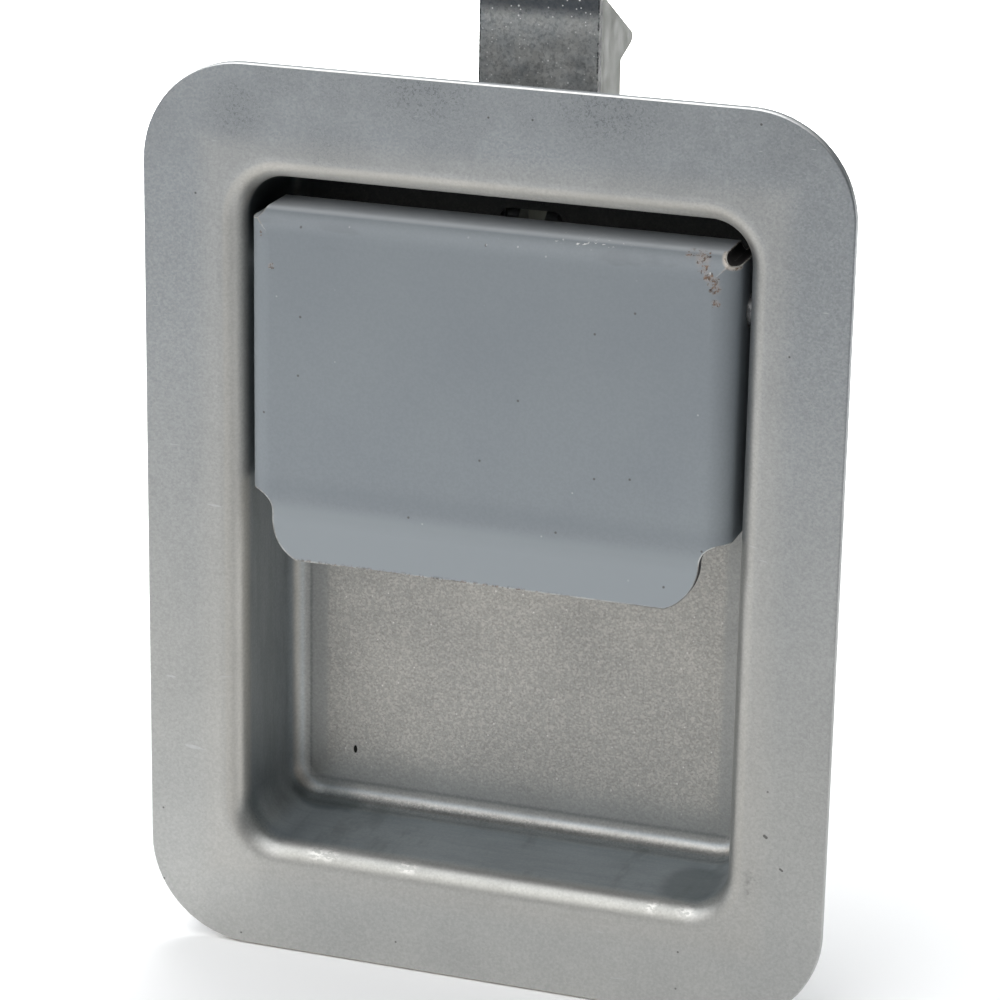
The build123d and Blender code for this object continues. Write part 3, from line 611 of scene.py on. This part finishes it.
def strip_look():
    look = Look("strip_zinc", metallic=0.85)
    spangle = look.noise(260, 4, 0.7)
    fine = look.cell_value(2700)
    tone = look.mix(look.span(spangle, 0.35, 0.65), linear(172, 176, 178), linear(198, 198, 195))
    tone = look.paint(tone, (226, 227, 225), fine, 0.55)
    pits = look.span(look.noise(1700, 3, 0.75), 0.5, 0.36)
    tone = look.paint(tone, (104, 108, 112), pits, 0.38)
    # Darker near the top end: painted shade
    top_end_shade = look.span(look.axis("Z"), strip_high.z - 5.5 * MM, strip_high.z - 2.5 * MM)
    tone = look.paint(tone, (58, 64, 72), top_end_shade, 0.85)
    glints = look.most(look.flat_specks(620, 0.13, 0.10), look.flat_specks(1350, 0.2, 0.12))
    tone = look.paint(tone, (255, 255, 254), glints, 0.95)
    # Painted shade on the strip's side faces
    flank = look.span(look.math("ABSOLUTE", look.facing("X")), 0.4, 0.8)
    tone = look.paint(tone, (74, 75, 73), flank, 0.9)
    from_middle = look.math("ABSOLUTE", look.axis("X"))
    edges = look.span(from_middle, strip_high.x - 0.35 * MM, strip_high.x - 0.1 * MM)
    chipped = look.span(look.noise(1300, 2, 0.6), 0.4, 0.6)
    tone = look.paint(tone, (34, 34, 36), edges, chipped, 0.9)
    look.colour(tone)
    look.roughness(look.span(look.noise(500, 3), 0.3, 0.7, 0.36, 0.5))
    look.bump(look.noise(1800, 3, 0.7), 0.03 * MM, 0.5)
    return look


dress(strip_look(), "bolt_strip")


def nylon_look():
    look = Look(
        "nylon",
        roughness=0.5,
        Subsurface_Weight=0.15,
        Subsurface_Scale=2 * MM,
        Specular_IOR_Level=0.35,
    )
    look.shader.inputs["Subsurface Radius"].default_value = (1.0, 0.9, 0.7)
    clouds = look.noise(120, 3, 0.6)
    tone = look.mix(clouds, linear(126, 128, 119), linear(135, 137, 128))
    scuffs = look.span(look.noise(900, 3, 0.7, (1, 1, 0.2)), 0.55, 0.75)
    tone = look.paint(tone, (106, 105, 98), scuffs, 0.3)
    look.colour(tone)
    look.roughness(look.span(look.noise(300, 3), 0.3, 0.7, 0.36, 0.52))
    look.bump(look.noise(1400, 2), 0.015 * MM, 0.5)
    return look


dress(nylon_look(), "bolt_block")

# ---- Small metal parts ----------------------------------------------------------------------------


def metal_look(name, base, dark, roughness, brushed=(1, 1, 1), metallic=0.92):
    """Plated or drawn steel: clouds, drawn lines, fine grain and a little grime."""
    look = Look(name, metallic=metallic)
    clouds = look.span(look.noise(140, 4, 0.6), 0.35, 0.7)
    tone = look.mix(look.times(clouds, 0.6), base, dark)
    lines = look.noise(900, 3, 0.6, brushed)
    tone = look.mix(look.times(look.span(lines, 0.35, 0.7), 0.3), tone, dark)
    tone = grain(look, 2400, 0.05, tone)
    look.colour(tone)
    look.roughness(look.span(look.noise(400, 3), 0.3, 0.7, roughness - 0.06, roughness + 0.08))
    look.bump(lines, 0.01 * MM, 0.5)
    return look


housing_zinc = metal_look("housing_zinc", linear(178, 180, 180), linear(140, 142, 144), 0.36, (1, 1, 0.2))
dress(housing_zinc, "latch_housing", "spring_seat")
trigger_zinc = metal_look("trigger_zinc", linear(170, 172, 172), linear(128, 130, 132), 0.38)
dress(trigger_zinc, "trigger")
sleeve_zinc = metal_look("sleeve_zinc", linear(182, 183, 184), linear(148, 150, 152), 0.3, (1, 6, 6))
dress(sleeve_zinc, "spacer_sleeve_left", "spacer_sleeve_right")
drawn_steel = metal_look("drawn_steel", linear(196, 196, 196), linear(160, 160, 160), 0.26, (1, 6, 6))
dress(drawn_steel, "hinge_pin")
guide_steel = metal_look("guide_steel", linear(186, 186, 186), linear(150, 150, 150), 0.3, (6, 6, 1))
dress(guide_steel, "spring_guide_left", "spring_guide_right")
nut_steel = metal_look("nut_steel", linear(132, 128, 122), linear(88, 84, 80), 0.34)
dress(nut_steel, "pin_push_nut")
rivet_aluminium = metal_look("rivet_aluminium", linear(206, 206, 208), linear(172, 172, 174), 0.32)
dress(rivet_aluminium, "housing_rivets")
ground_steel = metal_look("ground_steel", linear(180, 180, 182), linear(140, 140, 142), 0.3, (1, 1, 8))
dress(ground_steel, "bolt_rivets")
oiled_wire = metal_look("oiled_wire", linear(112, 112, 114), linear(70, 68, 68), 0.3)
plated_wire = metal_look("plated_wire", linear(168, 170, 172), linear(124, 126, 128), 0.28)
stud_zinc = metal_look("stud_zinc", linear(190, 191, 188), linear(150, 150, 148), 0.3)

# ---- Mesh helpers ---------------------------------------------------------------------------------


def piece(name, vertices, faces, look, slot, body=None):
    """A smooth-shaded mesh object, riding on a body when one is given."""
    mesh = bpy.data.meshes.new(name)
    mesh.from_pydata([tuple(vertex) for vertex in vertices], [], faces)
    mesh.validate()
    for polygon in mesh.polygons:
        polygon.use_smooth = True
    mesh.materials.append(look.material)
    made = bpy.data.objects.new(name, mesh)
    bpy.context.collection.objects.link(made)
    if body:
        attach(made, body)
    return made


def rings_to_faces(count, sides):
    """Faces between rings of vertices, with both ends closed."""
    faces = []
    for ring in range(count - 1):
        for side in range(sides):
            near = ring * sides + side
            beside = ring * sides + (side + 1) % sides
            faces.append((near, beside, beside + sides, near + sides))
    faces.append(tuple(reversed(range(sides))))
    faces.append(tuple(range((count - 1) * sides, count * sides)))
    return faces


WIRE_END_BEVEL = 0.25  # of the wire's radius


def tube(path, radius, sides=14):
    """Vertices and faces of a round wire along a list of points, with slightly rounded ends."""
    tangents = []
    for index, point in enumerate(path):
        before = path[max(index - 1, 0)]
        after = path[min(index + 1, len(path) - 1)]
        tangents.append((after - before).normalized())
    across = tangents[0].orthogonal().normalized()
    vertices = []
    rings = list(zip(path, tangents, [1.0] * len(path)))
    bevel = radius * WIRE_END_BEVEL
    first, last = rings[0], rings[-1]
    rings[0] = (first[0] + first[1] * bevel, first[1], 1.0)
    rings[-1] = (last[0] - last[1] * bevel, last[1], 1.0)
    rings.insert(0, (first[0], first[1], 1 - WIRE_END_BEVEL))
    rings.append((last[0], last[1], 1 - WIRE_END_BEVEL))
    for point, tangent, share in rings:
        across = (across - tangent * across.dot(tangent)).normalized()
        up = tangent.cross(across)
        for side in range(sides):
            angle = 2 * math.pi * side / sides
            vertices.append(point + (across * math.cos(angle) + up * math.sin(angle)) * radius * share)
    return vertices, rings_to_faces(len(rings), sides)


def mirrored(vertices, faces):
    """The same shape on the other side of X = 0."""
    flipped = [Vector((-vertex.x, vertex.y, vertex.z)) for vertex in vertices]
    return flipped, [tuple(reversed(face)) for face in faces]


# ---- Torsion springs on the hinge pin -------------------------------------------------------------

WIRE_RADIUS = 0.6 * MM
COIL_RADIUS = 4.1 * MM
COIL_TURNS = 4
COIL_SPACING = 1.45 * MM
COIL_SIDE_GAP = 7.7 * MM
COIL_LEG = 6.3 * MM
LEG_GAP = 0.3 * MM
TURN_STEPS = 40


def leg_turn(reach):
    """Where a leg ends: its angle round the pin from +Y towards +Z, half the angle between the two
    tangents to the coil from there, and its distance from the pin's axis."""
    span = math.hypot(reach, COIL_LEG)
    return math.atan2(COIL_LEG, reach), math.acos(COIL_RADIUS / span), span


def torsion_spring_path():
    """The right-hand spring: a leg behind the paddle, the coil, and a leg on the pan's floor."""
    end_angle, half, rise_span = leg_turn(paddle_back + LEG_GAP + WIRE_RADIUS - pivot.y)
    start_angle = end_angle + half
    end_angle, half, floor_span = leg_turn(floor_front - LEG_GAP - WIRE_RADIUS - pivot.y)
    leave_angle = end_angle - half
    sweep = COIL_TURNS + 1 + (leave_angle - start_angle) / (2 * math.pi)
    start_x = paddle_high.x - SHEET - COIL_SIDE_GAP - sweep * COIL_SPACING
    coil = []
    steps = round(sweep * TURN_STEPS)
    for step in range(steps + 1):
        turned = sweep * step / steps
        angle = start_angle + turned * 2 * math.pi
        offset = Vector((0, math.cos(angle), math.sin(angle))) * COIL_RADIUS
        coil.append(Vector((start_x + turned * COIL_SPACING, pivot.y, pivot.z)) + offset)
    rise = (coil[0] - coil[1]).normalized() * math.sqrt(rise_span**2 - COIL_RADIUS**2)
    leave = (coil[-1] - coil[-2]).normalized() * math.sqrt(floor_span**2 - COIL_RADIUS**2)
    shares = (0.25, 0.5, 0.75, 1.0)
    risen = [coil[0] + rise * share for share in reversed(shares)]
    return risen + coil + [coil[-1] + leave * share for share in shares]


def torsion_springs():
    path = torsion_spring_path()
    vertices, faces = tube(path, WIRE_RADIUS)
    for side, name in ((1, "paddle_spring_right"), (-1, "paddle_spring_left")):
        shape = (vertices, faces) if side > 0 else mirrored(vertices, faces)
        spring = piece(name + "_wire", *shape, oiled_wire, "paddle_spring")
        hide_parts(name)
        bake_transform(spring)


torsion_springs()

# ---- Return springs in the bolt block -------------------------------------------------------------

RETURN_WIRE = 0.4 * MM
RETURN_TURNS = 11
CLOSED_TURNS = 0.85  # at each end, where the turns lie on each other


def return_spring(name, hand):
    """A compression spring with closed ends, wound to the right for hand 1 and to the left for -1."""
    low, high = corners(name)
    middle = (low + high) / 2
    radius = (high.x - low.x) / 2 - RETURN_WIRE
    foot = low.z + RETURN_WIRE
    height = high.z - low.z - 2 * RETURN_WIRE
    closed = CLOSED_TURNS * 2 * RETURN_WIRE
    open_pitch = (height - 2 * closed) / (RETURN_TURNS - 2 * CLOSED_TURNS)
    path = []
    steps = RETURN_TURNS * TURN_STEPS
    for step in range(steps + 1):
        turned = RETURN_TURNS * step / steps
        rise = min(turned, CLOSED_TURNS) * 2 * RETURN_WIRE
        rise += min(max(turned - CLOSED_TURNS, 0), RETURN_TURNS - 2 * CLOSED_TURNS) * open_pitch
        rise += max(turned - RETURN_TURNS + CLOSED_TURNS, 0) * 2 * RETURN_WIRE
        angle = hand * turned * 2 * math.pi
        path.append(
            Vector((middle.x + radius * math.cos(angle), middle.y + radius * math.sin(angle), foot + rise))
        )
    spring = piece(name + "_wire", *tube(path, RETURN_WIRE, 12), plated_wire, "return_spring")
    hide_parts(name)
    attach(spring, TRAY)
    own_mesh(spring)


return_spring("return_spring_left", -1)
return_spring("return_spring_right", 1)

# ---- Threaded studs -------------------------------------------------------------------------------

STUD_RADIUS = 2.41 * MM
THREAD_PITCH = 1.058 * MM
THREAD_DEPTH = 0.62 * MM
THREAD_START = 1.4 * MM
WELD_FLASH = 0.75 * MM
WELD_RISE = 0.55 * MM
WELD_WAVE = 0.12  # of the flash, three times round
FLANK_SLOPE = 2.6
STUD_POINT = 0.8 * MM
STUD_SIDES = 36
RINGS_PER_PITCH = 9


def stud_radius_at(along, angle, length):
    """Radius of the stud's surface: weld flash, short shank, rolled thread and pointed end."""
    if along < WELD_RISE:
        share = along / WELD_RISE
        return STUD_RADIUS + WELD_FLASH * (1 - share) ** 2 * (1 + WELD_WAVE * math.sin(3 * angle))
    phase = (along / THREAD_PITCH - angle / (2 * math.pi)) % 1
    flank = min(abs(phase - 0.5) * FLANK_SLOPE, 1.0)
    cut = 1 - flank**2 * (3 - 2 * flank)
    run_in = min(max((along - THREAD_START) / THREAD_PITCH, 0), 1)
    radius = STUD_RADIUS - THREAD_DEPTH * cut * run_in
    return min(radius, STUD_RADIUS - max(along - (length - STUD_POINT), 0))


def threaded_studs():
    low, high = corners("weld_studs")
    length = high.y
    count = math.ceil(length * RINGS_PER_PITCH / THREAD_PITCH)
    vertices = []
    faces = []
    for side_x in (low.x + STUD_RADIUS, high.x - STUD_RADIUS):
        for side_z in (low.z + STUD_RADIUS, high.z - STUD_RADIUS):
            first = len(vertices)
            for ring in range(count + 1):
                along = length * ring / count
                for side in range(STUD_SIDES):
                    angle = 2 * math.pi * side / STUD_SIDES
                    radius = stud_radius_at(along, angle, length)
                    vertices.append(
                        Vector((side_x + radius * math.cos(angle), along, side_z - radius * math.sin(angle)))
                    )
            faces += [
                tuple(first + index for index in face) for face in rings_to_faces(count + 1, STUD_SIDES)
            ]
    studs = piece("threaded_studs", vertices, faces, stud_zinc, "weld_studs", TRAY)
    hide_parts("weld_studs")


threaded_studs()

# ---- Foam gasket ----------------------------------------------------------------------------------

GASKET_SIDE_BAND = 9.3 * MM
GASKET_CORNER = 14.1 * MM
GASKET_INNER_CORNER = 10.65 * MM
GASKET_END_BAND = 11.25 * MM
STUD_HOLE = 3.81 * MM  # radius
HOLE_SIDES = 32
SOFT_EDGE = 0.25 * MM


def gasket_look():
    look = Look("gasket_foam", roughness=0.9, Specular_IOR_Level=0.3)
    cells = look.cells(1700)
    tone = look.mix(look.span(cells, 0.2, 0.7), linear(46, 46, 48), linear(24, 24, 25))
    dust = look.span(look.noise(220, 4, 0.7), 0.5, 0.75)
    tone = look.paint(tone, (82, 80, 77), dust, 0.35)
    look.colour(tone)
    look.bump(cells, 0.08 * MM, 0.8)
    return look


def rounded_loop(spline, half_width, half_height, corner, middle_z, steps=10):
    """Fills a closed spline with a rounded rectangle, in the curve's own XY plane."""
    points = []
    for quarter, (sign_x, sign_z) in enumerate(((1, 1), (-1, 1), (-1, -1), (1, -1))):
        for step in range(steps + 1):
            angle = math.radians(90 * (quarter + step / steps))
            x = sign_x * (half_width - corner) + corner * math.cos(angle)
            z = sign_z * (half_height - corner) + corner * math.sin(angle)
            points.append((x, z + middle_z))
    add_points(spline, points)


def add_points(spline, points):
    """Makes a closed spline of points in the curve's own XY plane."""
    spline.points.add(len(points) - 1)
    for target, (x, z) in zip(spline.points, points):
        target.co = (x, z, 0, 1)
    spline.use_cyclic_u = True


def foam_gasket():
    low, high = corners("flange_gasket")
    thickness = high.y - low.y
    curve = bpy.data.curves.new("foam_gasket", "CURVE")
    curve.dimensions = "2D"
    curve.fill_mode = "BOTH"
    curve.extrude = thickness / 2 - SOFT_EDGE
    curve.bevel_depth = SOFT_EDGE
    curve.bevel_resolution = 3
    curve.offset = -SOFT_EDGE
    rounded_loop(curve.splines.new("POLY"), high.x, high.z, GASKET_CORNER, 0)
    rounded_loop(
        curve.splines.new("POLY"),
        high.x - GASKET_SIDE_BAND,
        high.z - GASKET_END_BAND,
        GASKET_INNER_CORNER,
        PAN_RISE,
    )
    stud_low, stud_high = corners("weld_studs")
    for x in (stud_low.x + STUD_RADIUS, stud_high.x - STUD_RADIUS):
        for z in (stud_low.z + STUD_RADIUS, stud_high.z - STUD_RADIUS):
            hole = []
            for step in range(HOLE_SIDES):
                angle = 2 * math.pi * step / HOLE_SIDES
                hole.append((x + STUD_HOLE * math.cos(angle), z + STUD_HOLE * math.sin(angle)))
            add_points(curve.splines.new("POLY"), hole)
    source = bpy.data.objects.new("gasket_outline", curve)
    bpy.context.collection.objects.link(source)
    bpy.context.view_layer.update()
    mesh = bpy.data.meshes.new_from_object(source.evaluated_get(bpy.context.evaluated_depsgraph_get()))
    bpy.data.objects.remove(source)
    stand = Matrix.Translation((0, (low.y + high.y) / 2, 0)) @ Matrix.Rotation(math.pi / 2, 4, "X")
    mesh.transform(stand)
    mesh.materials.clear()
    mesh.materials.append(gasket_look().material)
    gasket = bpy.data.objects.new("foam_gasket", mesh)
    bpy.context.collection.objects.link(gasket)
    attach(gasket, TRAY)
    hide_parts("flange_gasket")


foam_gasket()

# ---- Weld beads between trigger and paddle --------------------------------------------------------

BEAD_LENGTH = 6.5 * MM
BEAD_SIZE = 0.95 * MM
BEADS_BELOW_TOP = (5.2 * MM, 15.0 * MM)  # middles, below the trigger's top
BEAD_RIPPLES = 7
BEAD_ROWS = 26
BEAD_ARC = 8
BEAD_INTO_TRIGGER = 0.05 * MM
BEAD_INTO_PADDLE = 0.02 * MM


def weld_beads():
    """Four rippled fillet welds along the sides of the trigger's foot."""
    vertices = []
    faces = []
    foot_y = paddle_back - BEAD_INTO_PADDLE
    flank_x = trigger_high.x - BEAD_INTO_TRIGGER
    for side in (-1, 1):
        for below_top in BEADS_BELOW_TOP:
            first = len(vertices)
            for row in range(BEAD_ROWS + 1):
                along = row / BEAD_ROWS
                taper = math.sqrt(max(1 - (2 * along - 1) ** 6, 0.02))
                size = BEAD_SIZE * taper * (1 + 0.08 * math.sin(along * 2 * math.pi * BEAD_RIPPLES))
                z = trigger_high.z - below_top + (along - 0.5) * BEAD_LENGTH
                for point in range(BEAD_ARC + 1):
                    angle = math.pi / 2 * point / BEAD_ARC
                    bulge = size * (1 - 0.12 * math.sin(2 * angle))
                    x = side * (flank_x + bulge * math.cos(angle))
                    y = foot_y + bulge * math.sin(angle)
                    vertices.append(Vector((x, y, z)))
                vertices.append(Vector((side * flank_x, foot_y, z)))
            made = rings_to_faces(BEAD_ROWS + 1, BEAD_ARC + 2)
            if side < 0:
                made = [tuple(reversed(face)) for face in made]
            faces += [tuple(first + index for index in face) for face in made]
    bead_metal = metal_look("bead_metal", linear(120, 118, 116), linear(70, 66, 64), 0.42)
    piece("weld_beads", vertices, faces, bead_metal, "trigger", PADDLE)


weld_beads()

# ---- Floor and light ------------------------------------------------------------------------------

FLOOR_HALF = 6.0
FLOOR_GAP = 0.2 * MM
SKY_RIGHT = 0.05
SKY_LEFT = 0.24
SKY_TOP = 0.20
SKY_BACK = 0.2


def floor():
    mesh = bpy.data.meshes.new("floor")
    outline = [(x * FLOOR_HALF, y * FLOOR_HALF, 0) for x, y in ((-1, -1), (1, -1), (1, 1), (-1, 1))]
    mesh.from_pydata(outline, [], [(0, 1, 2, 3)])
    made = bpy.data.objects.new("floor", mesh)
    made.location.z = cad_bounds[0][2] - FLOOR_GAP
    bpy.context.collection.objects.link(made)
    look = Look("floor_paint", roughness=0.8)
    look.colour(look.mix(look.noise(6, 2), linear(246, 246, 246), linear(250, 250, 250)))
    mesh.materials.append(look.material)


def sky():
    """A dim room with a paler left side."""
    world = bpy.data.worlds.new("studio")
    world.use_nodes = True
    tree = world.node_tree
    background = tree.nodes["Background"]
    heading = tree.nodes.new("ShaderNodeTexCoord").outputs["Generated"]
    split = tree.nodes.new("ShaderNodeSeparateXYZ")
    tree.links.new(heading, split.inputs[0])
    levels = []
    for output, start, end, low, high in (
        ("X", 0.7, -0.7, SKY_RIGHT, SKY_LEFT),
        ("Z", 0.0, 1.0, 0.0, SKY_TOP),
        ("Y", -0.3, 0.8, 0.0, SKY_BACK),
    ):
        ramp = tree.nodes.new("ShaderNodeMapRange")
        ramp.interpolation_type = "SMOOTHSTEP"
        tree.links.new(split.outputs[output], ramp.inputs["Value"])
        for socket, value in (("From Min", start), ("From Max", end), ("To Min", low), ("To Max", high)):
            ramp.inputs[socket].default_value = value
        levels.append(ramp.outputs[0])
    total = levels[0]
    for level in levels[1:]:
        add = tree.nodes.new("ShaderNodeMath")
        add.operation = "ADD"
        tree.links.new(total, add.inputs[0])
        tree.links.new(level, add.inputs[1])
        total = add.outputs[0]
    background.inputs[0].default_value = (0.93, 0.97, 1.0, 1)
    tree.links.new(total, background.inputs[1])
    bpy.context.scene.world = world


def lamp(name, place, power, width, aim=(0, 0, 0), spread=180):
    """A square area lamp, in watts and metres, unseen by the camera."""
    light = bpy.data.lights.new(name, "AREA")
    light.energy = power
    light.size = width
    light.spread = math.radians(spread)
    made = bpy.data.objects.new(name, light)
    made.location = place
    made.rotation_euler = (Vector(aim) - Vector(place)).to_track_quat("-Z", "Y").to_euler()
    made.visible_camera = False
    bpy.context.collection.objects.link(made)


floor()
sky()
lamp("key", direction(-24, 40) * 1.2, 3.3, 1.4)
lamp("over", (-0.30, -0.40, 0.80), 7.7, 1.2, aim=(-0.10, -0.10, 0))
lamp("back", (-0.45, 1.15, 1.2), 36.0, 1.2, aim=(-0.45, 1.15, 0), spread=84)
bpy.context.scene.view_settings.view_transform = "Standard"
